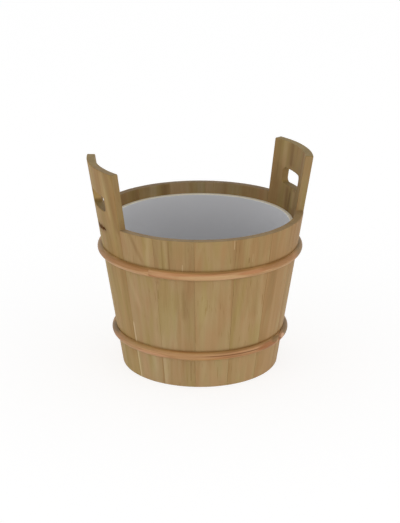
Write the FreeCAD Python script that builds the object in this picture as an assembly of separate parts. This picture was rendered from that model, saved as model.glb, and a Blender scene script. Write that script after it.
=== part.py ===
import FreeCAD, Part
import os
from math import atan, cos, degrees, hypot, radians, sin, sqrt

from FreeCAD import Vector

# A coopered bucket. Straight staves with bevelled sides stand in a ring that is narrower
# at the foot. On each side two of them run on above the rim as an ear, with a hand hole
# cut across their seam. A bottom of glued boards sits with its tongue in a groove round
# the staves, two half-round hoops bind the wall, and a moulded liner stands inside.
# Millimetres, +Z up, origin on the floor under the middle of the bucket, ears along X.

# Wall, measured on the outside of the staves
rim_height = 191.8
rim_radius = 125.0
foot_radius = 95.8
wall_thickness = 9.5
rim_edge_radius = 0.8
foot_edge_radius = 0.6

# Staves
plain_staves_per_side = 6
staves_per_ear = 2
ear_stave_angle = 22.2
arris = 0.35

# Ears
ear_rise = 67.8
ear_corner_radius = 1.8
ear_edge_radius = 0.9

# Hand hole, its width measured round the outside of the ear
hand_hole_width = 51.8
hand_hole_height = 19.3
hand_hole_above_rim = 16.4
hand_hole_corner_radius = 6.0
hand_hole_edge_radius = 0.8

# Groove round the inside of the staves, and the boards whose tongue fills it
groove_height = 15.5
groove_width = 5.0
groove_depth = 3.6
bottom_boards = 4
bottom_thickness = 10.0
bottom_bevel_length = 8.0
tongue_clearance = 0.2

# Hoops: a round rod with a flat planed on it, bent round the wall
upper_hoop_height = 148.8
lower_hoop_height = 43.5
hoop_rod_radius = 5.2
hoop_stand_out = 6.1
scarf_length = 24.0
scarf_gap = 0.3
scarf_nib = 1.6
planed_depth = 1.2
planed_length = 9.0
upper_scarf_angle = 221.9
lower_scarf_angle = 313.3

# Liner
liner_wall = 2.0
liner_floor = 2.5
liner_below_rim = 13.6
liner_lip_width = 4.6
liner_lip_height = 3.4
liner_clearance = 0.2
liner_corner_radius = 9.0
liner_outer_edge_radius = 0.4
liner_mouth_edge_radius = 1.2

FULL_TURN = 360.0
HALF_TURN = 180.0
REACH = 1.0
ON_SKIN = 0.05
Z_AXIS = Vector(0, 0, 1)
ORIGIN = Vector(0, 0, 0)

flare = (rim_radius - foot_radius) / rim_height
slope = atan(flare)
wall_across = wall_thickness / cos(slope)
ear_angle = staves_per_ear * ear_stave_angle
plain_stave_angle = (HALF_TURN - ear_angle) / plain_staves_per_side
ear_top = rim_height + ear_rise
hand_hole_low = rim_height + hand_hole_above_rim
hand_hole_high = hand_hole_low + hand_hole_height
groove_top = groove_height + groove_width
groove_middle = groove_height + groove_width / 2
bottom_low = groove_middle - bottom_thickness / 2
bottom_top = bottom_low + bottom_thickness
liner_top = rim_height - liner_below_rim


def outer_radius(z):
    """Radius of the outside of the wall at a height."""
    return foot_radius + flare * z


def inner_radius(z):
    """Radius of the inside of the wall at a height."""
    return outer_radius(z) - wall_across


def polar(radius, angle, z):
    """A point given by its distance from the axis, its angle and its height."""
    turn = radians(angle)
    return Vector(radius * cos(turn), radius * sin(turn), z)


def radius_of(point):
    """Distance of a point from the axis."""
    return hypot(point.x, point.y)


def near(a, b, slack=0.01):
    """Whether two lengths agree."""
    return abs(a - b) < slack


def sector(points, start, sweep):
    """The solid that a closed outline of (radius, height) points makes when it turns."""
    corners = [polar(radius, start, z) for radius, z in points]
    outline = Part.makePolygon(corners + corners[:1])
    return Part.Face(outline).revolve(ORIGIN, Z_AXIS, sweep)


def turned(shape, angle):
    """A copy of a shape, turned round the axis."""
    copy = shape.copy()
    copy.rotate(ORIGIN, Z_AXIS, angle)
    return copy


def pick_edges(shape, wanted):
    """The edges whose ends and middle all satisfy a test."""
    found = []
    for edge in shape.Edges:
        middle = edge.valueAt((edge.FirstParameter + edge.LastParameter) / 2)
        points = [vertex.Point for vertex in edge.Vertexes] + [middle]
        if all(wanted(point) for point in points):
            found.append(edge)
    return found


def radial_edges(shape):
    """The edges whose two ends lie at different distances from the axis, on one level."""
    found = []
    for edge in shape.Edges:
        if len(edge.Vertexes) == 2:
            a, b = (vertex.Point for vertex in edge.Vertexes)
            if near(a.z, b.z) and not near(radius_of(a), radius_of(b)):
                found.append(edge)
    return found


def on_outer_skin(point):
    """Whether a point lies on the outside of the wall or of an ear."""
    return near(radius_of(point), outer_radius(point.z), ON_SKIN)


def on_inner_skin(point):
    """Whether a point lies on the inside of the wall or of an ear."""
    return near(radius_of(point), inner_radius(point.z), ON_SKIN)


def level_arcs(shape, z):
    """The edges that run round the wall at a height, outside and inside."""
    return pick_edges(shape, lambda p: near(p.z, z) and (on_outer_skin(p) or on_inner_skin(p)))


def wall_outline():
    """Section of the wall from the floor to the rim, with the groove for the bottom."""
    groove_floor = inner_radius(groove_middle) + groove_depth
    return [
        (outer_radius(0), 0),
        (outer_radius(rim_height), rim_height),
        (inner_radius(rim_height), rim_height),
        (inner_radius(groove_top), groove_top),
        (groove_floor, groove_top),
        (groove_floor, groove_height),
        (inner_radius(groove_height), groove_height),
        (inner_radius(0), 0),
    ]


def arris_cutter(angle, inward, high, skin, sign):
    """A thin prism along one long corner of a stave, which takes the sharp edge off it.

    inward is the way round to the stave's middle, skin gives the radius of its outer or
    inner face, and sign is 1 on the outer face and -1 on the inner one.
    """
    radial = polar(sign, angle, 0)
    along = polar(inward, angle + 90, 0)
    corner = polar(skin(-REACH), angle, -REACH)
    beyond = (radial + along).normalize() * REACH
    first = corner + along * arris + beyond
    last = corner - radial * arris - beyond
    apex = corner + (radial - along) * REACH
    rise = high + REACH
    path = polar(flare * rise, angle, rise)
    return Part.Face(Part.makePolygon([first, last, apex, first])).extrude(path)


def soften_side(stave, angle, inward, high):
    """Takes the sharp edge off both long corners of one side of a stave."""
    for skin, sign in ((outer_radius, 1), (inner_radius, -1)):
        stave = stave.cut(arris_cutter(angle, inward, high, skin, sign))
    return stave


def plain_stave():
    """One stave that ends at the rim, its side at angle 0."""
    stave = sector(wall_outline(), 0, plain_stave_angle)
    stave = stave.makeFillet(rim_edge_radius, level_arcs(stave, rim_height))
    stave = stave.makeFillet(foot_edge_radius, level_arcs(stave, 0))
    stave = soften_side(stave, 0, 1, rim_height)
    return soften_side(stave, plain_stave_angle, -1, rim_height)


def ear_above_rim():
    """The part of an ear that stands above the rim, rounded where a hand meets it."""
    ear = sector([
        (outer_radius(rim_height), rim_height),
        (outer_radius(ear_top), ear_top),
        (inner_radius(ear_top), ear_top),
        (inner_radius(rim_height), rim_height),
    ], -ear_angle / 2, ear_angle)
    top_corners = [edge for edge in radial_edges(ear) if near(edge.BoundBox.ZMin, ear_top)]
    ear = ear.makeFillet(ear_corner_radius, top_corners)
    for on_skin in (on_outer_skin, on_inner_skin):
        chain = [edge for edge in pick_edges(ear, on_skin)
                 if edge.BoundBox.ZMax > rim_height + REACH]
        ear = ear.makeFillet(ear_edge_radius, chain)
    return ear


def hand_hole_cutter():
    """The block that cuts the hand hole of the ear on +X, with rounded corners."""
    middle = outer_radius((hand_hole_low + hand_hole_high) / 2)
    half_angle = degrees(hand_hole_width / 2 / middle)
    near_side = inner_radius(hand_hole_low) - wall_thickness
    far_side = outer_radius(hand_hole_high) + wall_thickness
    block = sector([
        (near_side, hand_hole_low),
        (far_side, hand_hole_low),
        (far_side, hand_hole_high),
        (near_side, hand_hole_high),
    ], -half_angle, 2 * half_angle)
    return block.makeFillet(hand_hole_corner_radius, radial_edges(block))


def mouth_edges(ear):
    """The edges of the hand hole, on the outer and the inner face of the ear."""
    low = hand_hole_low - REACH
    high = hand_hole_high + REACH
    side = radians(ear_angle / 2)

    def on_mouth(p):
        off_side = radius_of(p) * sin(side) - abs(p.y) > ear_edge_radius + REACH
        return off_side and low < p.z < high and (on_outer_skin(p) or on_inner_skin(p))
    return pick_edges(ear, on_mouth)


def whole_ear():
    """The ear on +X from foot to top, before it is divided into its staves."""
    below_rim = sector(wall_outline(), -ear_angle / 2, ear_angle)
    below_rim = below_rim.makeFillet(foot_edge_radius, level_arcs(below_rim, 0))
    ear = below_rim.fuse(ear_above_rim()).removeSplitter()
    ear = ear.cut(hand_hole_cutter())
    return ear.makeFillet(hand_hole_edge_radius, mouth_edges(ear))


def ear_staves():
    """The staves of the ear on +X, in order of angle."""
    ear = whole_ear()
    far = 2 * outer_radius(ear_top)
    above = ear_top + REACH
    staves = []
    for place in range(staves_per_ear):
        start = -ear_angle / 2 + place * ear_stave_angle
        space = sector([(0, -REACH), (far, -REACH), (far, above), (0, above)],
                       start, ear_stave_angle)
        stave = ear.common(space)
        for end, inward in ((0, 1), (1, -1)):
            at_ear_side = place + end in (0, staves_per_ear)
            high = rim_height - REACH if at_ear_side else ear_top
            stave = soften_side(stave, start + end * ear_stave_angle, inward, high)
        staves.append(stave)
    return staves


def scarf_slit(height, scarf_angle):
    """The gap between the two ends of a hoop: a blunt nose over a long taper, and a blunt heel.

    The end whose nose lies outside starts at the scarf angle. The end under it is planed down
    towards the nose, so that the nose stands proud.
    """
    seat = outer_radius(height)
    face = seat + hoop_stand_out
    clear = face + REACH
    under = seat - REACH
    half_tall = hoop_rod_radius + REACH
    nose = scarf_angle
    heel = nose + degrees(scarf_length / face)
    opening = degrees(scarf_gap / face)
    outline = [polar(radius, angle, height - half_tall) for radius, angle in (
        (clear, nose),
        (face - scarf_nib, nose),
        (seat + scarf_nib, heel),
        (under, heel),
        (under, heel - opening),
        (seat + scarf_nib - scarf_gap, heel - opening),
        (face - scarf_nib - scarf_gap, nose - opening),
        (face - planed_depth, nose - opening),
        (face, nose - degrees(planed_length / face)),
        (clear, nose - degrees(planed_length / face)),
    )]
    return Part.Face(Part.makePolygon(outline + outline[:1])).extrude(Z_AXIS * 2 * half_tall)


def hoop(height, scarf_angle):
    """A half-round rod bent into a ring on the wall, its ends cut to a long scarf."""
    centre_out = hoop_stand_out - hoop_rod_radius
    half_flat = sqrt(hoop_rod_radius ** 2 - centre_out ** 2)
    seat = Vector(outer_radius(height), 0, height)
    up = Vector(sin(slope), 0, cos(slope))
    out = Vector(cos(slope), 0, -sin(slope))
    top = seat + up * half_flat
    nose = seat + out * hoop_stand_out
    low = seat - up * half_flat
    outline = Part.Wire([Part.Arc(top, nose, low).toShape(), Part.makeLine(low, top)])
    ring = Part.Face(outline).revolve(ORIGIN, Z_AXIS, FULL_TURN)
    return ring.cut(scarf_slit(height, scarf_angle))


def bottom_disc():
    """The round bottom, bevelled above and below to a tongue that fits the groove."""
    tongue_end = inner_radius(groove_middle) + groove_depth - tongue_clearance
    upper_shoulder = inner_radius(groove_top) - tongue_clearance
    lower_shoulder = inner_radius(groove_height) - tongue_clearance
    return sector([
        (0, bottom_low),
        (lower_shoulder - bottom_bevel_length, bottom_low),
        (lower_shoulder, groove_height),
        (tongue_end, groove_height),
        (tongue_end, groove_top),
        (upper_shoulder, groove_top),
        (upper_shoulder - bottom_bevel_length, bottom_top),
        (0, bottom_top),
    ], 0, FULL_TURN)


def bottom_board_list():
    """The boards that the bottom is glued up from, from front to back, grain along X."""
    disc = bottom_disc()
    half = inner_radius(groove_middle) + groove_depth
    width = 2 * half / bottom_boards
    boards = []
    for place in range(bottom_boards):
        strip = Part.makeBox(2 * half, width, bottom_thickness + 2 * REACH,
                             Vector(-half, -half + place * width, bottom_low - REACH))
        boards.append(disc.common(strip))
    return boards


def liner():
    """A thin tapered cup that stands on the bottom, its lip reaching out to the staves."""
    under_lip = liner_top - liner_lip_height
    floor_top = bottom_top + liner_floor

    def lip_out(z):
        return inner_radius(z) - liner_clearance

    def cup_in(z):
        return lip_out(z) - liner_lip_width

    def cup_out(z):
        return cup_in(z) + liner_wall

    cup = sector([
        (0, bottom_top),
        (cup_out(bottom_top), bottom_top),
        (cup_out(under_lip), under_lip),
        (lip_out(under_lip), under_lip),
        (lip_out(liner_top), liner_top),
        (cup_in(liner_top), liner_top),
        (cup_in(floor_top), floor_top),
        (0, floor_top),
    ], 0, FULL_TURN)

    def rounded(shape, size, radius, z):
        edges = pick_edges(shape, lambda p: near(p.z, z) and near(radius_of(p), radius))
        return shape.makeFillet(size, edges)

    cup = rounded(cup, liner_corner_radius, cup_in(floor_top), floor_top)
    cup = rounded(cup, liner_corner_radius, cup_out(bottom_top), bottom_top)
    cup = rounded(cup, liner_outer_edge_radius, lip_out(liner_top), liner_top)
    cup = rounded(cup, liner_mouth_edge_radius, cup_in(liner_top), liner_top)
    return cup


def all_parts():
    """Every piece of the bucket, by name."""
    parts = {}
    for place, stave in enumerate(ear_staves(), start=1):
        parts[f"right_ear_stave_{place}"] = stave
        parts[f"left_ear_stave_{place}"] = turned(stave, HALF_TURN)
    stave = plain_stave()
    for place in range(plain_staves_per_side):
        start = ear_angle / 2 + place * plain_stave_angle
        parts[f"back_stave_{place + 1}"] = turned(stave, start)
        parts[f"front_stave_{place + 1}"] = turned(stave, start + HALF_TURN)
    for place, board in enumerate(bottom_board_list(), start=1):
        parts[f"bottom_board_{place}"] = board
    parts["upper_hoop"] = hoop(upper_hoop_height, upper_scarf_angle)
    parts["lower_hoop"] = hoop(lower_hoop_height, lower_scarf_angle)
    parts["liner"] = liner()
    return parts


os.makedirs("parts", exist_ok=True)
for name, shape in all_parts().items():
    print(name, shape.isValid(), len(shape.Solids), round(shape.Volume))
    shape.exportStep(f"parts/{name}.step")
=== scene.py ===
import math

import bpy
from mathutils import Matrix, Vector

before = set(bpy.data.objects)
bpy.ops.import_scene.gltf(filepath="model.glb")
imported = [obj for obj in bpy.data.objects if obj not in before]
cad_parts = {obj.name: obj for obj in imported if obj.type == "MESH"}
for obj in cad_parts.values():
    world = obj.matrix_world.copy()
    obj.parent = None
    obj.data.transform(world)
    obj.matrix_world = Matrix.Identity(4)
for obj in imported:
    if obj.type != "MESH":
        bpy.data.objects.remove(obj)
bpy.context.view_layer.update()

MM = 0.001

# Where the photograph was taken from, measured about the bucket's own axis
CAMERA_DISTANCE = 1.7948
CAMERA_AZIMUTH = -19.5
CAMERA_ELEVATION = 19.41
AIM_HEIGHT = 0.1248
FOCAL_PIXELS = 1466.7
PHOTO_HEIGHT_PIXELS = 523
SENSOR_MM = 36.0

# The surround, a lamp on each side of the camera, and the floor just below the foot. The floor
# glows by what its shadow share leaves over from white, in light as strong as FLOOR_LIGHT
SKY_AT_HORIZON = 1.4
SKY_AT_TOP = 0.30
LAMP_TURN = 50
LAMP_ELEVATION = 12
LAMP_DISTANCE = 2.4
LAMP_SIZE = 1.6
LAMP_WATTS = 4
FLOOR_RADIUS = 8.0
FLOOR_SIDES = 96
FLOOR_HEIGHT = -0.0002
FLOOR_GREY = 0.88
FLOOR_SHADOW_SHARE = 0.35
FLOOR_LIGHT = 0.68

# The wall and its hoops, in metres and degrees, as the frame has them
RIM_HEIGHT = 0.1918
FOOT_RADIUS = 0.0958
RIM_RADIUS = 0.125
SLOPE = math.atan((RIM_RADIUS - FOOT_RADIUS) / RIM_HEIGHT)
EAR_STAVE_ANGLE = 22.2
STAVES_BETWEEN_EARS = 6
PLAIN_STAVE_ANGLE = (180.0 - 2 * EAR_STAVE_ANGLE) / STAVES_BETWEEN_EARS
BOTTOM_BOARDS = 4
UPPER_HOOP_HEIGHT = 0.1488
LOWER_HOOP_HEIGHT = 0.0435
HOOP_RADIUS = 0.0052
UPPER_SCARF_ANGLE = 221.9
LOWER_SCARF_ANGLE = 313.3

# Where tints and painted shade and highlight come in or go out, as the two ends of the change, in
# metres
INNER_FACE_HEIGHT = (0.185, 0.250)
HOLE_DEPTH = (0.4 * MM, 1.2 * MM)
HOLE_SIDE = (26.5 * MM, 27.5 * MM)
HOLE_FOOT = (0.204, 0.206)
HOLE_TOP = (0.230, 0.232)
HOOP_TOP_RISE = (2.6 * MM, 4.8 * MM)
LIP_HEIGHT = (0.17, 0.175)

# How far the painted shade in the crease over a hoop reaches up and down
CREASE_SHADE_HALF_HEIGHT = 2.8 * MM

# How far apart the growth rings lie, and where the pith of a board lies, in mm
STAVE_RING_MM = 3.8
BOARD_RING_MM = 4.0
BOARD_PITH = (40, 12)

# Ramps of (tone plus a half, colour), with colours from 0 to 255 as a screen shows them
STAVE_RAMP = [
    (0.00, (92, 64, 34)),
    (0.25, (140, 108, 64)),
    (0.50, (171, 141, 95)),
    (0.75, (191, 165, 122)),
    (1.00, (214, 192, 152)),
]
HOOP_RAMP = [
    (0.10, (128, 82, 46)),
    (0.35, (168, 122, 80)),
    (0.50, (190, 145, 98)),
    (0.68, (207, 165, 121)),
    (0.95, (222, 186, 144)),
]
BOARD_RAMP = [
    (0.00, (92, 64, 34)),
    (0.30, (146, 116, 74)),
    (0.60, (170, 142, 99)),
    (0.90, (196, 172, 132)),
]
LINER_RAMP = [
    (0.30, (204, 205, 208)),
    (0.70, (216, 217, 220)),
]

# Single colours of the same kind
PINK = (255, 245, 243)
OLIVE = (250, 255, 240)
END_GRAIN = (148, 123, 84)
KNOT_CORE = (84, 50, 18)
KNOT_HALO = (128, 92, 50)
HOOP_RED = (252, 226, 214)
HOOP_END = (206, 160, 128)
# A painted highlight on the liner's lip, lighter and warmer than the liner
LINER_LIP_HIGHLIGHT = (236, 229, 210)

# Tints, by which a linear colour is multiplied. The inner, hand hole, crease and hoop top tints
# are painted shade
NO_TINT = (1, 1, 1)
# Painted shade on the staves' inner faces, darker low down by the liner than up at the rim
INNER_SHADE_LOW = (0.67, 0.66, 0.62)
INNER_SHADE_HIGH = (0.84, 0.83, 0.80)
# Painted shade on the faces of the hand holes
HAND_HOLE_SHADE = (0.78, 0.74, 0.66)
# Painted shade in the crease over each hoop
CREASE_SHADE = (0.66, 0.60, 0.46)
# Painted shade on the top of each hoop
HOOP_TOP_SHADE = (0.80, 0.84, 0.66)
EAR_TINT = (0.95, 0.94, 0.82)
EDGE_TINT = (1.0, 1.06, 1.10)
BACK_END_TINT = (0.67, 0.62, 0.53)
EAR_END_TINT = (0.99, 1.02, 0.88)

# Gloss of the wood and the liner
STAVE_SPECULAR = 0.22
HOOP_SPECULAR = 0.3
BOARD_SPECULAR = 0.2
LINER_SPECULAR = 0.35

# What shows on each stave: its tone, where its pith lies behind it in mm, and what is drawn on it
STAVE_LOOKS = {
    "front_stave_1": dict(
        tone=-0.01, warmth=-0.03, tint=(1.0, 1.0, 1.05), pith=(-60, 22),
        lines=[
            ((-16.9, 0), (-19.4, 72), 2.3, 6, 0.36),
            ((-7.3, 108), (-19.0, 140), 6.0, 20, 0.06),
            ((-9.0, 56), (-10.0, 95), 6.0, 16, -0.06),
            ((5.7, 164), (-7.2, 191), 5.0, 14, -0.12),
            ((13.6, 160), (17.1, 192), 8.0, 10, 0.13),
            ((9.0, 0), (10.0, 36), 9.0, 16, 0.14),
            ((16.0, 50), (17.0, 92), 9.0, 20, 0.07),
            ((-14.0, 160), (-14.0, 192), 9.0, 8, 0.07),
            ((17.5, 0), (19.0, 36), 1.2, 4, -0.12),
        ],
        patches=[
            (11.0, 20, 13, 28, (0.975, 1.035, 1.03)),
            (12.0, 180, 16, 26, (1.0, 0.99, 0.95)),
        ],
    ),
    "front_stave_2": dict(
        tone=-0.015, warmth=-0.03, tint=(0.985, 1.0, 1.04), pith=(-45, -30),
        lines=[
            ((-6.3, 60), (-3.2, 140), 7.5, 24, 0.1),
            ((0.0, 62), (0.0, 92), 5.0, 16, 0.07),
            ((9.7, 155), (10.1, 163), 0.9, 2, 0.3),
            ((-13.6, 158), (-13.8, 190), 1.6, 6, -0.1),
            ((-9.5, 158), (-9.6, 190), 3.4, 6, 0.08),
            ((-5.6, 158), (-5.7, 190), 1.6, 6, -0.11),
            ((13.8, 10), (14.7, 34), 0.9, 3, -0.16),
            ((18.0, 20), (18.7, 34), 0.9, 3, -0.12),
            ((-18.0, 4), (-18.0, 34), 9.0, 12, 0.18),
            ((7.0, 4), (7.0, 34), 6.0, 8, -0.08),
            ((-16.0, 50), (-14.0, 92), 9.0, 20, 0.08),
            ((6.0, 50), (7.0, 86), 4.0, 16, 0.08),
            ((10.0, 98), (10.0, 125), 6.0, 12, -0.08),
            ((-18.0, 164), (-18.0, 190), 9.0, 6, -0.05),
            ((-21.0, 117), (-21.1, 126), 1.0, 2, -0.14),
        ],
        patches=[
            (0.0, 83, 8, 34, (0.98, 1.02, 1.0)),
            (-14.0, 126, 10, 24, (1.02, 0.985, 1.0)),
            (5.0, 182, 20, 18, (0.99, 1.01, 0.96)),
        ],
    ),
    "front_stave_3": dict(
        tone=0.02, warmth=0.02, pith=(-80, 8),
        lines=[
            ((22.0, 183), (22.2, 193), 0.8, 2, 0.4),
            ((14.5, 20), (17.5, 150), 4.0, 30, 0.05),
            ((-17.0, 2), (-17.0, 34), 7.0, 8, -0.07),
            ((-13.0, 95), (-13.0, 125), 10.0, 15, 0.07),
        ],
        patches=[
            (8.0, 27, 18, 24, (0.98, 1.03, 1.0)),
            (15.0, 127, 14, 24, (0.985, 1.015, 1.0)),
            (9.0, 182, 11, 16, (1.01, 0.995, 0.965)),
        ],
    ),
    "front_stave_4": dict(
        tone=0.015, warmth=0.02, tint=(1.0, 1.0, 0.97), pith=(-50, 28),
        lines=[
            ((-17.0, 0), (-21.5, 190), 5.0, 10, -0.05),
            ((-6.1, 163), (-6.2, 168), 0.8, 2, -0.22),
            ((-1.4, 164), (-1.6, 172), 0.8, 2, 0.18),
            ((19.3, 104), (19.0, 114), 0.9, 3, -0.18),
            ((0.0, 4), (0.0, 34), 10.0, 12, 0.06),
            ((-2.0, 58), (-2.0, 92), 5.0, 20, 0.05),
            ((8.0, 95), (8.0, 125), 9.0, 15, -0.07),
        ],
        patches=[
            (3.0, 74, 18, 32, (1.02, 0.98, 1.0)),
            (-2.0, 126, 16, 24, (1.015, 0.985, 1.0)),
        ],
    ),
    "front_stave_5": dict(
        warmth=0.15, tint=(1.0, 0.975, 0.93), pith=(-70, -25),
        lines=[
            ((-13.0, 50), (-11.0, 140), 12.0, 20, -0.09),
            ((-9.0, 16), (-9.0, 34), 9.0, 8, -0.05),
            ((13.0, 168), (13.0, 192), 10.0, 14, -0.08),
        ],
    ),
    "front_stave_6": dict(
        tone=-0.05, warmth=0.15, tint=(0.98, 0.95, 0.89), pith=(-55, 15),
        lines=[
            ((0.0, 2), (0.0, 34), 16.0, 12, -0.05),
            ((-12.0, 168), (-12.0, 192), 12.0, 14, -0.06),
        ],
    ),
    "left_ear_stave_1": dict(
        tone=-0.03, tint=EAR_TINT, pith=(-60, -20), end_tint=EAR_END_TINT,
        # How much lighter the painted shade in the hand hole is on its upright sides
        hole_side_light=(1.75, 1.9, 2.25),
        patches=[
            (-15.0, 252, 16, 22, (1.0, 1.0, 0.86)),
        ],
        knots=[
            (17.5, 184.8, 9.0, 3.7),
        ],
    ),
    "left_ear_stave_2": dict(
        tone=-0.045, tint=EAR_TINT, pith=(-60, 30),
        lines=[
            ((7.5, 212), (3.5, 258), 5.0, 12, 0.13),
            ((0.5, 228), (0.0, 252), 5.0, 12, 0.05),
            ((24.0, 208), (23.0, 262), 7.0, 10, 0.05),
            ((-1.0, 150), (0.0, 178), 10.0, 12, -0.05),
        ],
        shades=[
            ((14.0, 196), (10.0, 258), 1.8, 12, -0.08),
        ],
        patches=[
            (1.0, 163, 18, 26, (1.0, 0.95, 0.86)),
            (8.0, 248, 14, 26, (1.0, 1.03, 1.1)),
            (22.0, 222, 9, 34, (0.97, 0.97, 0.91)),
        ],
        knots=[
            (-20.5, 185.6, 7.0, 3.7),
            (-13.0, 186.2, 6.0, 2.5),
        ],
    ),
    "right_ear_stave_1": dict(
        tone=-0.045, tint=EAR_TINT, pith=(-60, 20), end_tint=EAR_END_TINT,
        lines=[
            ((9.0, 188), (9.0, 204), 9.0, 5, 0.25),
            ((-4.0, 150), (-4.0, 182), 18.0, 10, -0.12),
            ((19.6, 176), (22.0, 200), 6.0, 5, -0.2),
        ],
        patches=[
            (18.0, 245, 12, 24, (0.975, 0.985, 0.9)),
            (7.0, 198, 9, 12, (1.0, 1.0, 1.05)),
        ],
    ),
    "right_ear_stave_2": dict(
        tint=EAR_TINT, pith=(-60, -28), end_tint=EAR_END_TINT,
        lines=[
            ((-16.0, 236), (-13.0, 262), 11.0, 5, -0.17),
            ((-19.0, 176), (-15.5, 204), 8.0, 5, -0.14),
            ((0.5, 232), (3.5, 262), 7.5, 10, 0.16),
            ((9.0, 205), (9.0, 226), 8.0, 10, -0.07),
        ],
    ),
    "back_stave_1": dict(
        tone=0.03, pith=(-58, -14), end_tint=BACK_END_TINT,
        lines=[
            ((14.0, 150), (13.0, 205), 12.0, 20, -0.07),
        ],
        patches=[
            (16.0, 190, 13, 26, (0.97, 1.015, 1.0)),
            (-14.0, 190, 13, 26, (1.03, 0.99, 1.0)),
        ],
    ),
    "back_stave_2": dict(
        tone=0.07, tint=(1.0, 1.03, 1.1), pith=(-60, 12), end_tint=BACK_END_TINT,
        lines=[
            ((-2.0, 120), (-3.5, 205), 7.0, 20, -0.08),
            ((18.0, 170), (18.0, 205), 8.0, 10, 0.08),
        ],
        patches=[
            (18.0, 190, 10, 26, (1.01, 1.0, 1.06)),
            (1.0, 190, 10, 26, (1.0, 1.0, 1.06)),
            (-17.0, 190, 10, 26, (0.94, 1.03, 1.0)),
        ],
    ),
    "back_stave_3": dict(
        tone=0.07, tint=(1.02, 1.08, 1.2), pith=(-50, -18), end_tint=BACK_END_TINT,
        lines=[
            ((19.0, 170), (19.0, 205), 6.0, 10, -0.06),
            ((-5.0, 170), (-5.0, 205), 6.0, 10, -0.07),
            ((-17.0, 170), (-17.0, 205), 7.0, 10, 0.07),
        ],
        shades=[
            ((-8.0, 176), (1.0, 196), 1.0, 20, 0.04),
        ],
        patches=[
            (-5.0, 190, 8, 26, (1.0, 0.99, 0.94)),
            (-18.0, 190, 9, 26, (0.97, 1.0, 1.05)),
        ],
    ),
    "back_stave_4": dict(
        tone=0.02, pith=(-66, 10), end_tint=BACK_END_TINT,
        lines=[
            ((-12.0, 150), (-17.0, 200), 10.0, 20, -0.15),
            ((1.0, 170), (1.0, 205), 9.0, 10, 0.15),
        ],
        patches=[
            (3.0, 190, 15, 26, (0.955, 1.02, 1.08)),
        ],
    ),
    "back_stave_5": dict(
        tone=-0.03, tint=(0.96, 0.93, 0.85), pith=(-55, 20), end_tint=BACK_END_TINT,
        lines=[
            ((-16.0, 170), (-16.0, 205), 9.0, 10, -0.07),
        ],
    ),
    "back_stave_6": dict(
        tone=-0.05, tint=(0.94, 0.9, 0.8), pith=(-62, 6), end_tint=BACK_END_TINT,
    ),
}

# Stains on the hoops, with painted light and shade: lighter lower halves, darker upper halves and
# a painted highlight at the lower scarf's end, as hoop_wood takes them
UPPER_HOOP_STAINS_AND_SHADES = [
    (170, 14, 2.0, 5.0, (132, 106, 72), 0.55),
    (187, 14, 1.5, 4.2, (156, 113, 68), 0.75),
    (206, 20, 2.4, 3.2, (161, 112, 62), 0.8),
    (208, 22, -2.4, 1.8, (196, 154, 110), 0.75),
    (230, 8, -0.5, 2.6, (202, 154, 110), 0.6),
    (256, 24, -1.4, 3.6, (208, 168, 120), 0.8),
    (268, 13, -2.8, 1.2, (216, 174, 130), 0.6),
    (281, 12, 1.0, 2.2, (186, 128, 82), 0.85),
    (300, 17, 2.4, 3.6, (162, 114, 64), 0.8),
    (298, 16, -3.0, 1.8, (192, 151, 98), 0.7),
    (335, 20, 0, 9, (128, 103, 58), 0.7),
]
LOWER_HOOP_STAINS_AND_SHADES = [
    (173, 14, 3.2, 3.4, (112, 90, 58), 0.75),
    (188, 14, 1.0, 4.0, (164, 118, 74), 0.75),
    (218, 14, -2.0, 2.8, (204, 154, 114), 0.8),
    (198, 12, -1.0, 3.0, (188, 148, 102), 0.6),
    (206, 16, 3.0, 1.8, (170, 134, 84), 0.6),
    (238, 22, 2.0, 3.0, (188, 144, 96), 0.5),
    (252, 12, -4.4, 1.4, (168, 128, 78), 0.6),
    (274, 27, 0.8, 0.65, (122, 76, 38), 0.9),
    (256, 18, -4.1, 1.6, (210, 157, 92), 0.75),
    (299, 11, -0.4, 4.6, (160, 101, 54), 0.85),
    (286, 10, -2.6, 2.4, (184, 132, 84), 0.6),
    (309, 6, 2.4, 3.0, (134, 103, 58), 0.8),
    (334, 19, 0, 9, (128, 99, 52), 0.8),
    (313.5, 2.2, -1.0, 4.0, (136, 84, 46), 0.8),
    (318.5, 3.5, 0.2, 3.6, (214, 168, 130), 0.9),
]


def linear(red, green, blue):
    """A linear colour from the 0 to 255 values that a screen shows."""
    def one(value):
        v = value / 255
        return v / 12.92 if v <= 0.04045 else ((v + 0.055) / 1.055) ** 2.4
    return (one(red), one(green), one(blue))


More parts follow.
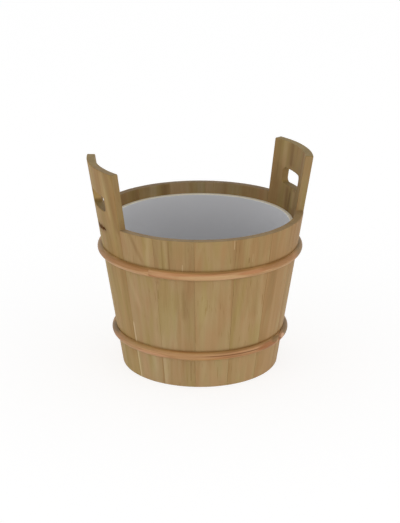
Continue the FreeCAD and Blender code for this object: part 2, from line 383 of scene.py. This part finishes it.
class Nodes:
    """A short way to write the node tree of one material."""

    def __init__(self, name):
        self.material = bpy.data.materials.new(name)
        self.material.use_nodes = True
        self.tree = self.material.node_tree
        self.tree.nodes.clear()

    def add(self, kind, **settings):
        node = self.tree.nodes.new("ShaderNode" + kind)
        for key, value in settings.items():
            setattr(node, key, value)
        return node

    def feed(self, socket, value):
        """Links a socket to another, or sets its constant."""
        if isinstance(value, bpy.types.NodeSocket):
            self.tree.links.new(value, socket)
        else:
            socket.default_value = value

    def math(self, operation, *values):
        node = self.add("Math", operation=operation)
        for socket, value in zip(node.inputs, values):
            self.feed(socket, value)
        return node.outputs[0]

    def sum(self, *values):
        total = values[0]
        for value in values[1:]:
            total = self.math("ADD", total, value)
        return total

    def minus(self, a, b):
        return self.math("SUBTRACT", a, b)

    def times(self, a, b):
        return self.math("MULTIPLY", a, b)

    def size(self, value):
        return self.math("ABSOLUTE", value)

    def length(self, a, b):
        """How far a point in a plane lies from the origin."""
        return self.math("SQRT", self.sum(self.times(a, a), self.times(b, b)))

    def object_point(self):
        return self.add("TexCoord").outputs["Object"]

    def normal(self):
        return self.add("NewGeometry").outputs["Normal"]

    def turned(self, vector, rotation=(0, 0, 0), location=(0, 0, 0), scale=(1, 1, 1)):
        node = self.add("Mapping")
        self.feed(node.inputs["Vector"], vector)
        node.inputs["Rotation"].default_value = rotation
        node.inputs["Location"].default_value = location
        node.inputs["Scale"].default_value = scale
        return node.outputs[0]

    def split(self, vector):
        node = self.add("SeparateXYZ")
        self.feed(node.inputs[0], vector)
        return node.outputs[0], node.outputs[1], node.outputs[2]

    def join(self, x, y, z):
        node = self.add("CombineXYZ")
        for socket, value in zip(node.inputs, (x, y, z)):
            self.feed(socket, value)
        return node.outputs[0]

    def noise(self, vector, detail, roughness=0.5):
        """Smooth noise about 0, mostly within plus or minus 0.25, on a scaled vector."""
        node = self.add("TexNoise", noise_dimensions="3D")
        self.feed(node.inputs["Vector"], vector)
        node.inputs["Scale"].default_value = 1.0
        node.inputs["Detail"].default_value = detail
        node.inputs["Roughness"].default_value = roughness
        return self.minus(node.outputs[0], 0.5)

    def stretched_noise(self, vector, across_mm, along_mm, seed, detail=2.0, roughness=0.5):
        """Noise in streaks: across_mm wide in X and Y, along_mm long in Z."""
        across = 1.0 / (across_mm * MM)
        along = 1.0 / (along_mm * MM)
        moved = self.turned(vector, location=(seed * 3.17, seed * 1.93, seed * 5.71),
                            scale=(across, across, along))
        return self.noise(moved, detail, roughness)

    def remap(self, value, low, high, to_low, to_high, smooth=False):
        node = self.add("MapRange", interpolation_type="SMOOTHSTEP" if smooth else "LINEAR")
        for socket, item in zip(node.inputs, (value, low, high, to_low, to_high)):
            self.feed(socket, item)
        return node.outputs[0]

    def bell(self, value, centre, half_width):
        """1 at a value and 0 beyond a half width from it."""
        off = self.size(self.minus(value, centre))
        return self.remap(off, 0.0, half_width, 1.0, 0.0, smooth=True)

    def ramp(self, level, stops):
        """The colour of a level about 0, from stops about 0.5."""
        node = self.add("ValToRGB")
        self.feed(node.inputs[0], self.sum(level, 0.5))
        ramp = node.color_ramp
        while len(ramp.elements) < len(stops):
            ramp.elements.new(0.5)
        for element, (place, colour) in zip(ramp.elements, stops):
            element.position = place
            element.color = (*linear(*colour), 1)
        return node.outputs[0]

    def mix(self, factor, a, b, blend="MIX"):
        node = self.add("Mix", data_type="RGBA", blend_type=blend)
        self.feed(node.inputs[0], factor)
        for socket, value in ((node.inputs[6], a), (node.inputs[7], b)):
            self.feed(socket, value if isinstance(value, bpy.types.NodeSocket) else (*value, 1))
        return node.outputs[2]

    def tinted(self, colour, tint, share=None):
        """A colour multiplied by a tint, wholly or by a share."""
        whole = self.mix(1.0, colour, tint, "MULTIPLY")
        return whole if share is None else self.mix(share, colour, whole)

    def dot(self, a, b):
        node = self.add("VectorMath", operation="DOT_PRODUCT")
        self.feed(node.inputs[0], a)
        self.feed(node.inputs[1], b)
        return node.outputs["Value"]

    def unit(self, vector):
        node = self.add("VectorMath", operation="NORMALIZE")
        self.feed(node.inputs[0], vector)
        return node.outputs["Vector"]

    def finish(self, colour, roughness, specular, height, bump_mm, bump_strength):
        """Puts the surface together and returns the material."""
        shader = self.add("BsdfPrincipled")
        self.feed(shader.inputs["Base Color"], colour)
        self.feed(shader.inputs["Roughness"], roughness)
        self.feed(shader.inputs["Specular IOR Level"], specular)
        bump = self.add("Bump")
        bump.inputs["Strength"].default_value = bump_strength
        bump.inputs["Distance"].default_value = bump_mm * MM
        self.feed(bump.inputs["Height"], height)
        self.feed(shader.inputs["Normal"], bump.outputs[0])
        out = self.add("OutputMaterial")
        self.feed(out.inputs["Surface"], shader.outputs[0])
        return self.material


def ring_lines(n, point, seed, pith, ring_mm):
    """The dark late wood of growth rings round a pith that lies off to one side."""
    drift = n.times(n.stretched_noise(point, 40, 90, seed, 1.0), 12 * MM)
    x, y, z = n.split(point)
    from_pith_x = n.minus(x, n.sum(pith[0] * MM, n.times(z, 0.05)))
    from_pith_y = n.minus(y, pith[1] * MM)
    radius = n.length(from_pith_x, from_pith_y)
    ring = n.math("FRACT", n.math("DIVIDE", n.sum(radius, drift), ring_mm * MM))
    return n.times(n.math("POWER", ring, 2.5), n.remap(ring, 0.86, 1.0, 1.0, 0.0))


def grain(n, point, seed, pith, ring_mm):
    """Wood in a block whose fibres run along Z: tone about 0, and a height for bump."""
    broad = n.stretched_noise(point, 17, 240, seed, 1.0)
    streaks = n.stretched_noise(point, 6, 130, seed + 1, 2.0)
    fibres = n.stretched_noise(point, 1.1, 30, seed + 2, 2.0, 0.6)
    flecks = n.stretched_noise(point, 1.5, 15, seed + 4, 0.0)
    dark_fleck = n.remap(flecks, 0.24, 0.34, 0.0, -0.11)
    rings = ring_lines(n, point, seed + 3, pith, ring_mm)
    patch = n.stretched_noise(point, 14, 110, seed + 6, 0.0)
    step = n.remap(patch, -0.03, 0.03, -0.020, 0.020, smooth=True)
    clear = n.stretched_noise(point, 24, 70, seed + 8, 1.0)
    clearness = n.remap(clear, -0.12, 0.12, 0.35, 1.25, smooth=True)
    tone = n.sum(n.times(broad, 0.18), n.times(n.times(streaks, 0.15), clearness),
                 n.times(n.times(fibres, 0.09), clearness), n.times(rings, -0.03),
                 dark_fleck, step)
    height = n.sum(fibres, n.times(rings, 0.4), n.times(dark_fleck, 3.0))
    return tone, height


def off_slant(n, y, z, low_end, high_end):
    """How far a place lies beside the line from one end to the other."""
    (low_offset, low), (high_offset, high) = low_end, high_end
    lean = (high_offset - low_offset) / (high - low)
    return n.minus(y, n.sum(n.times(z, lean), (low_offset - lean * low) * MM))


def fade_in(n, z, low, fade):
    """0 below a height and 1 above it, over a fade in mm."""
    return n.remap(z, (low - fade) * MM, low * MM, 0.0, 1.0, smooth=True)


def drawn_over(n, level, y, z, lines, shades):
    """A stave's level of tone with its lines and shades."""
    for low_end, high_end, half_width, fade, strength in lines:
        across = n.bell(off_slant(n, y, z, low_end, high_end), 0.0, half_width * MM)
        rise = fade_in(n, z, low_end[1], fade)
        drop = n.remap(z, high_end[1] * MM, (high_end[1] + fade) * MM, 1.0, 0.0, smooth=True)
        level = n.sum(level, n.times(n.times(across, n.times(rise, drop)), strength))
    for low_end, high_end, half_width, fade, strength in shades:
        past = off_slant(n, y, z, low_end, high_end)
        beyond = n.remap(past, -half_width * MM, half_width * MM, 0.0, strength, smooth=True)
        level = n.sum(level, n.times(beyond, fade_in(n, z, low_end[1], fade)))
    return level


def from_middle(n, y, z, offset, height, half_width, half_height):
    """0 at a place on the stave's face and 1 on the edge of an oval about it, all in mm."""
    across = n.math("DIVIDE", n.minus(y, offset * MM), half_width * MM)
    along = n.math("DIVIDE", n.minus(z, height * MM), half_height * MM)
    return n.length(across, along)


def with_knots(n, colour, point, seed, knots):
    """A stave's colour with its knots, and its gloss, which is low on them."""
    specular = STAVE_SPECULAR
    y, z = n.split(point)[1:]
    for place in knots:
        wave = n.times(n.stretched_noise(point, 7, 7, seed + 9), 4 * MM)
        reach = from_middle(n, y, n.sum(z, wave), *place)
        core = n.remap(reach, 0.6, 1.1, 1.0, 0.0, smooth=True)
        halo = n.remap(reach, 0.8, 2.6, 0.4, 0.0, smooth=True)
        colour = n.mix(halo, colour, linear(*KNOT_HALO))
        colour = n.mix(core, colour, linear(*KNOT_CORE))
        specular = n.times(specular, n.remap(core, 0.0, 1.0, 1.0, 0.05))
    return colour, specular


def end_wood(n, point, body, end_tint):
    """The colour of a stave's end grain, with its pores."""
    pores = n.noise(n.turned(point, scale=(900, 900, 60)), 1.0)
    tone = n.remap(n.sum(pores, n.times(body, 2.0)), -0.3, 0.3, 0.80, 1.2)
    return n.tinted(n.tinted(linear(*END_GRAIN), n.join(tone, tone, tone)), end_tint)


def in_hand_hole(n, x, y, z, facing):
    """1 on the faces of a hand hole and 0 on the rest of a stave."""
    wall = n.sum(FOOT_RADIUS, n.times(z, math.tan(SLOPE)))
    in_wall = n.remap(n.minus(wall, n.length(x, y)), *HOLE_DEPTH, 0.0, 1.0)
    by_hole = n.remap(n.size(y), *HOLE_SIDE, 1.0, 0.0)
    over_foot = n.remap(z, *HOLE_FOOT, 0.0, 1.0)
    under_top = n.remap(z, *HOLE_TOP, 1.0, 0.0)
    not_inner = n.remap(facing, -0.6, -0.5, 0.0, 1.0)
    return n.times(n.times(in_wall, not_inner), n.times(by_hole, n.times(over_foot, under_top)))


def stave_wood(name, centre, seed, pith, tone=0.0, warmth=0.0, tint=NO_TINT, lines=(), shades=(),
               patches=(), knots=(), hole_side_light=NO_TINT, end_tint=NO_TINT):
    """Wood for one stave, its grain along the stave's own middle line.

    Lines and shades are (low end, high end, half width, fade, strength), each end (offset, height)
    in mm. A shade changes all that lies between its line and the side of the stave. Knots are
    (offset, height, half width, half height) in mm, and patches are the same with a tint.
    """
    n = Nodes(name)
    where = n.object_point()
    upright = n.turned(where, rotation=(0, 0, -math.radians(centre)))
    point = n.turned(upright, rotation=(0, -SLOPE, 0),
                     location=(-FOOT_RADIUS * math.cos(SLOPE), 0, -FOOT_RADIUS * math.sin(SLOPE)))
    body, height = grain(n, point, seed, pith, STAVE_RING_MM)
    y, z = n.split(point)[1:]
    # Painted light from below: each stave a little lighter towards its foot and darker towards its
    # rim
    level = n.sum(body, tone, n.remap(z, 0.0, RIM_HEIGHT, 0.085, -0.018))
    colour = n.ramp(drawn_over(n, level, y, z, lines, shades), STAVE_RAMP)
    hue = n.sum(n.stretched_noise(point, 12, 60, seed + 7, 1.0), warmth)
    colour = n.tinted(colour, linear(*PINK), n.remap(hue, 0.0, 0.16, 0.0, 0.9))
    colour = n.tinted(colour, linear(*OLIVE), n.remap(hue, -0.18, -0.01, 0.9, 0.0))
    for *place, patch_tint in patches:
        share = n.remap(from_middle(n, y, z, *place), 0.3, 1.0, 1.0, 0.0, smooth=True)
        colour = n.tinted(colour, patch_tint, share)
    colour, specular = with_knots(n, colour, point, seed, knots)

    normal = n.normal()
    object_x, object_y, object_z = n.split(where)
    facing = n.dot(normal, n.unit(n.join(object_x, object_y, 0.0)))
    upward = n.size(n.split(normal)[2])
    # Painted shade: a dark band in the crease just over each hoop
    for hoop_height in (UPPER_HOOP_HEIGHT, LOWER_HOOP_HEIGHT):
        shade_over_hoop = n.bell(object_z, hoop_height + HOOP_RADIUS, CREASE_SHADE_HALF_HEIGHT)
        colour = n.tinted(colour, CREASE_SHADE, n.times(shade_over_hoop, 0.8))
    # Painted shade on the inner faces, deepest just over the liner
    above_liner = n.remap(z, *INNER_FACE_HEIGHT, 0.0, 1.0, smooth=True)
    inner_shade = n.mix(above_liner, INNER_SHADE_LOW, INNER_SHADE_HIGH)
    colour = n.tinted(colour, inner_shade, n.remap(facing, -0.75, -0.45, 1.0, 0.0))
    on_end = n.remap(upward, 0.55, 0.9, 0.0, 1.0)
    colour = n.mix(on_end, colour, end_wood(n, point, body, end_tint))
    # Painted shade in the hand hole, lighter on its upright sides than on its sill
    in_hole = in_hand_hole(n, object_x, object_y, object_z, facing)
    on_side = n.remap(upward, 0.3, 0.7, 1.0, 0.0)
    hole_shade = n.tinted(HAND_HOLE_SHADE, n.mix(on_side, NO_TINT, hole_side_light))
    colour = n.tinted(colour, hole_shade, in_hole)
    on_edge = n.times(n.remap(n.size(facing), 0.3, 0.6, 1.0, 0.0),
                      n.remap(upward, 0.5, 0.8, 1.0, 0.0))
    edge_only = n.times(on_edge, n.remap(in_hole, 0.0, 0.5, 1.0, 0.0))
    colour = n.tinted(colour, n.mix(edge_only, tint, EDGE_TINT))
    roughness = n.remap(n.sum(body, 0.5), 0.3, 0.7, 0.66, 0.54)
    return n.finish(colour, roughness, specular, height, bump_mm=0.2, bump_strength=0.5)


def hoop_wood(name, height, scarf_angle, seed, tone, stains_and_shades):
    """Wood for a hoop, its grain running round the bucket from one scarfed end to the other.

    Stains and patches of painted light and shade are each (angle, half angle, rise from the hoop's
    middle in mm, half rise, colour, share).
    """
    n = Nodes(name)
    where = n.object_point()
    x, y, z = n.split(n.turned(where, rotation=(0, 0, -math.radians(scarf_angle + 180))))
    round_angle = n.math("ARCTAN2", y, x)
    rise = n.minus(z, height)
    point = n.join(n.length(x, y), rise, n.times(round_angle, RIM_RADIUS))
    streaks = n.stretched_noise(point, 2.4, 110, seed, 2.0)
    broad = n.stretched_noise(point, 12, 50, seed + 1, 1.0)
    fibres = n.stretched_noise(point, 0.6, 18, seed + 2, 2.0, 0.6)
    level = n.sum(n.times(streaks, 0.55), n.times(broad, 0.30), n.times(fibres, 0.22), tone)
    red = n.remap(n.stretched_noise(point, 4, 90, seed + 3, 1.0), 0.02, 0.2, 0.0, 0.7)
    colour = n.tinted(n.ramp(level, HOOP_RAMP), linear(*HOOP_RED), red)
    ragged = n.times(n.stretched_noise(point, 3, 14, seed + 5, 2.0), 0.35)
    # Some patches are stains, and others are painted light and shade on the hoop's halves
    for angle, half_angle, rise_mm, half_rise_mm, patch_colour, share in stains_and_shades:
        from_scarf = (angle - scarf_angle) % 360 - 180
        off_angle = n.math("DIVIDE", n.minus(round_angle, math.radians(from_scarf)),
                           math.radians(half_angle))
        off_rise = n.math("DIVIDE", n.minus(rise, rise_mm * MM), half_rise_mm * MM)
        reach = n.sum(n.times(off_angle, off_angle), n.times(off_rise, off_rise), ragged)
        colour = n.mix(n.remap(reach, 0.35, 1.15, share, 0.0, smooth=True), colour, linear(*patch_colour))
    # Painted shade: the top of the hoop darker than its lower half
    colour = n.tinted(colour, HOOP_TOP_SHADE, n.remap(rise, *HOOP_TOP_RISE, 0.0, 1.0))
    object_x, object_y = n.split(where)[:2]
    round_way = n.unit(n.join(n.times(object_y, -1.0), object_x, 0.0))
    ends = n.size(n.dot(n.normal(), round_way))
    colour = n.mix(n.remap(ends, 0.6, 0.9, 0.0, 0.8), colour, linear(*HOOP_END))
    return n.finish(colour, 0.5, HOOP_SPECULAR, n.sum(streaks, fibres), bump_mm=0.25,
                    bump_strength=0.5)


def board_wood(name, seed):
    """Wood for a bottom board, its grain along X."""
    n = Nodes(name)
    point = n.turned(n.object_point(), rotation=(0, math.radians(90), 0))
    tone, height = grain(n, point, seed, BOARD_PITH, BOARD_RING_MM)
    return n.finish(n.ramp(tone, BOARD_RAMP), 0.7, BOARD_SPECULAR, height, bump_mm=0.3,
                    bump_strength=0.6)


def liner_plastic():
    """The liner's moulded plastic: cool and nearly plain, with faint mottling, fine scuffs and a
    painted highlight on its lip.
    """
    n = Nodes("liner_plastic")
    point = n.object_point()
    mottle = n.noise(n.turned(point, scale=(22, 22, 22)), 3.0)
    scuffs = n.noise(n.turned(point, rotation=(0.4, 0.2, 0.9), scale=(40, 900, 120)), 2.0)
    colour = n.ramp(n.sum(n.times(mottle, 0.25), n.times(scuffs, 0.06)), LINER_RAMP)
    upward = n.split(n.normal())[2]
    height = n.split(point)[2]
    # Painted highlight along the top of the liner's lip
    lip_highlight = n.times(n.remap(upward, 0.3, 0.8, 0.0, 1.0), n.remap(height, *LIP_HEIGHT, 0.0, 1.0))
    colour = n.mix(lip_highlight, colour, linear(*LINER_LIP_HIGHLIGHT))
    roughness = n.remap(n.sum(scuffs, mottle), -0.3, 0.3, 0.38, 0.52)
    return n.finish(colour, roughness, LINER_SPECULAR, n.sum(mottle, n.times(scuffs, 0.4)),
                    bump_mm=0.12, bump_strength=0.4)


def assign(node, material):
    """Gives a frame node its material."""
    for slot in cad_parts[node].material_slots:
        slot.material = material


def material_pieces():
    """Gives every stave, board and hoop and the liner its own material."""
    stave_centres = {
        "right_ear_stave_1": -EAR_STAVE_ANGLE / 2,
        "right_ear_stave_2": EAR_STAVE_ANGLE / 2,
        "left_ear_stave_1": 180 - EAR_STAVE_ANGLE / 2,
        "left_ear_stave_2": 180 + EAR_STAVE_ANGLE / 2,
    }
    for place in range(STAVES_BETWEEN_EARS):
        middle = EAR_STAVE_ANGLE + (place + 0.5) * PLAIN_STAVE_ANGLE
        stave_centres[f"back_stave_{place + 1}"] = middle
        stave_centres[f"front_stave_{place + 1}"] = middle + 180
    for count, (node, centre) in enumerate(stave_centres.items()):
        wood = stave_wood(node + "_wood", centre, seed=11.3 * count + 4, **STAVE_LOOKS[node])
        assign(node, wood)
    for place in range(BOTTOM_BOARDS):
        node = f"bottom_board_{place + 1}"
        assign(node, board_wood(node + "_wood", seed=70 + 9.7 * place))
    assign("upper_hoop", hoop_wood("upper_hoop_wood", UPPER_HOOP_HEIGHT, UPPER_SCARF_ANGLE,
                                   seed=3.1, tone=0.0, stains_and_shades=UPPER_HOOP_STAINS_AND_SHADES))
    assign("lower_hoop", hoop_wood("lower_hoop_wood", LOWER_HOOP_HEIGHT, LOWER_SCARF_ANGLE,
                                   seed=8.6, tone=-0.05, stains_and_shades=LOWER_HOOP_STAINS_AND_SHADES))
    assign("liner", liner_plastic())


def white_where_seen(tree, plain, seen):
    """Mixes two shaders: one for the light that falls on things, one for what is seen."""
    path = tree.nodes.new("ShaderNodeLightPath")
    is_seen = path.outputs["Is Camera Ray"]
    for ray in ("Is Glossy Ray", "Is Transmission Ray"):
        either = tree.nodes.new("ShaderNodeMath")
        either.operation = "MAXIMUM"
        tree.links.new(is_seen, either.inputs[0])
        tree.links.new(path.outputs[ray], either.inputs[1])
        is_seen = either.outputs[0]
    mixed = tree.nodes.new("ShaderNodeMixShader")
    tree.links.new(is_seen, mixed.inputs[0])
    tree.links.new(plain, mixed.inputs[1])
    tree.links.new(seen, mixed.inputs[2])
    return mixed.outputs[0]


def light_world():
    """A soft surround, brighter at the level of the eye than overhead, and seen as white."""
    world = bpy.data.worlds.new("studio")
    bpy.context.scene.world = world
    world.use_nodes = True
    tree = world.node_tree
    tree.nodes.clear()
    direction = tree.nodes.new("ShaderNodeTexCoord").outputs["Generated"]
    parts = tree.nodes.new("ShaderNodeSeparateXYZ")
    tree.links.new(direction, parts.inputs[0])
    up = tree.nodes.new("ShaderNodeMapRange")
    tree.links.new(parts.outputs[2], up.inputs[0])
    for place, value in enumerate((0.0, 1.0, SKY_AT_HORIZON, SKY_AT_TOP), start=1):
        up.inputs[place].default_value = value
    surround = tree.nodes.new("ShaderNodeBackground")
    tree.links.new(up.outputs[0], surround.inputs["Strength"])
    seen = tree.nodes.new("ShaderNodeBackground")
    seen.inputs["Strength"].default_value = 1.0
    for background in (surround, seen):
        background.inputs["Color"].default_value = (1, 1, 1, 1)
    out = tree.nodes.new("ShaderNodeOutputWorld")
    mixed = white_where_seen(tree, surround.outputs[0], seen.outputs[0])
    tree.links.new(mixed, out.inputs["Surface"])


def place_facing(thing, azimuth, elevation, distance):
    """Puts a lamp or the camera into the scene, facing the middle of the bucket."""
    bpy.context.scene.collection.objects.link(thing)
    a = math.radians(azimuth)
    e = math.radians(elevation)
    back = Vector((math.sin(a) * math.cos(e), -math.cos(a) * math.cos(e), math.sin(e)))
    thing.location = Vector((0, 0, AIM_HEIGHT)) + back * distance
    thing.rotation_euler = back.to_track_quat("Z", "Y").to_euler()


def soft_lamp(name, azimuth):
    """A large square lamp that faces the bucket."""
    data = bpy.data.lights.new(name, "AREA")
    data.shape = "SQUARE"
    data.size = LAMP_SIZE
    data.energy = LAMP_WATTS
    lamp = bpy.data.objects.new(name, data)
    place_facing(lamp, azimuth, LAMP_ELEVATION, LAMP_DISTANCE)


def lay_floor():
    """A plain pale floor that keeps the bucket's shadow."""
    bpy.ops.mesh.primitive_circle_add(vertices=FLOOR_SIDES, radius=FLOOR_RADIUS, fill_type="NGON")
    floor = bpy.context.object
    floor.name = "floor"
    floor.location.z = FLOOR_HEIGHT
    material = bpy.data.materials.new("floor")
    material.use_nodes = True
    tree = material.node_tree
    tree.nodes.clear()
    plain = tree.nodes.new("ShaderNodeBsdfDiffuse")
    shadowed = tree.nodes.new("ShaderNodeBsdfDiffuse")
    for shader, grey in ((plain, FLOOR_GREY), (shadowed, FLOOR_SHADOW_SHARE)):
        shader.inputs["Color"].default_value = (grey, grey, grey, 1)
    glow = tree.nodes.new("ShaderNodeEmission")
    glow.inputs["Strength"].default_value = 1.0 - FLOOR_LIGHT * FLOOR_SHADOW_SHARE
    added = tree.nodes.new("ShaderNodeAddShader")
    tree.links.new(shadowed.outputs[0], added.inputs[0])
    tree.links.new(glow.outputs[0], added.inputs[1])
    out = tree.nodes.new("ShaderNodeOutputMaterial")
    mixed = white_where_seen(tree, plain.outputs[0], added.outputs[0])
    tree.links.new(mixed, out.inputs["Surface"])
    floor.data.materials.append(material)


def place_camera():
    """The camera, at the photograph's distance, angle and field of view."""
    data = bpy.data.cameras.new("camera")
    data.sensor_width = SENSOR_MM
    data.lens = FOCAL_PIXELS * SENSOR_MM / PHOTO_HEIGHT_PIXELS
    camera = bpy.data.objects.new("camera", data)
    place_facing(camera, CAMERA_AZIMUTH, CAMERA_ELEVATION, CAMERA_DISTANCE)
    bpy.context.scene.camera = camera


material_pieces()
light_world()
soft_lamp("left", CAMERA_AZIMUTH - LAMP_TURN)
soft_lamp("right", CAMERA_AZIMUTH + LAMP_TURN)
lay_floor()
place_camera()

view = bpy.context.scene.view_settings
view.view_transform = "Standard"
